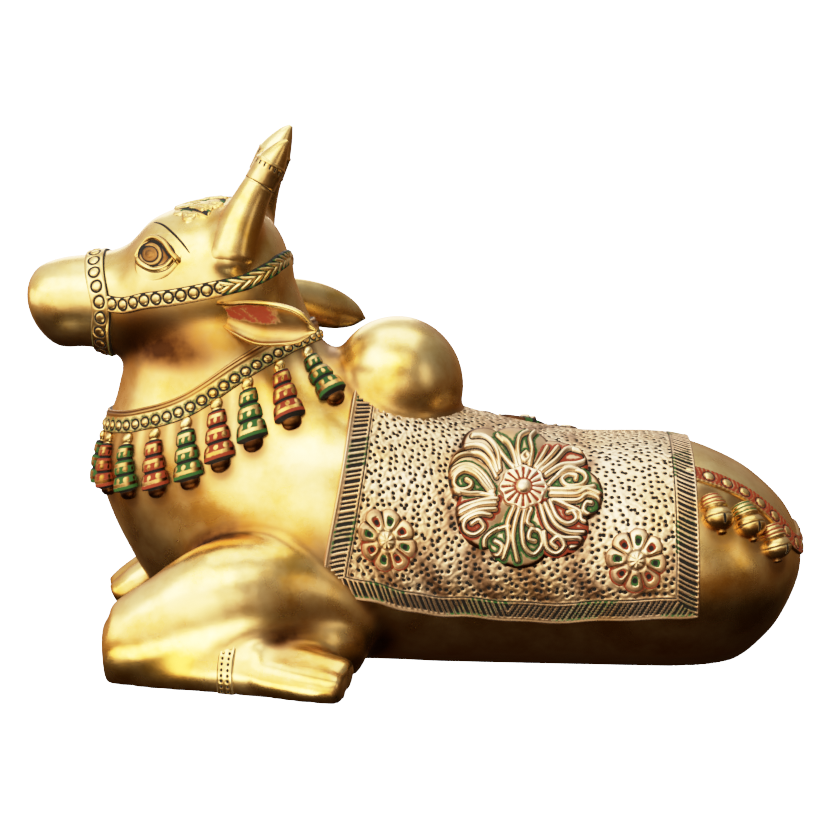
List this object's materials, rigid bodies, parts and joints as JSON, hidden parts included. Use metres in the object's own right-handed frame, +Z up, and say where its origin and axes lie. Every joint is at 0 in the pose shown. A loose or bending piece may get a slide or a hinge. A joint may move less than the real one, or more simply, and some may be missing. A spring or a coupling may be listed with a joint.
{
  "type": "nandi bull figure",
  "caption": "Cast brass figure of a humped bull at rest, in halter, horn caps, bell collar, flowered saddle cloth and crupper, standing by its own weight on a flat underside.",
  "frame": {"origin": "on the flat underside, below the middle of the trunk", "axes": "+Z up, -X towards the muzzle, -Y towards the side with the folded foreleg"},
  "size_m": [0.3007, 0.1646, 0.2015],
  "materials": {
    "brass": "polished cast brass, dark patina in the carving, worn red and green paint on the ornaments"
  },
  "bodies": {
    "root": {"nandi_bull": "brass"}
  },
  "joints": []
}
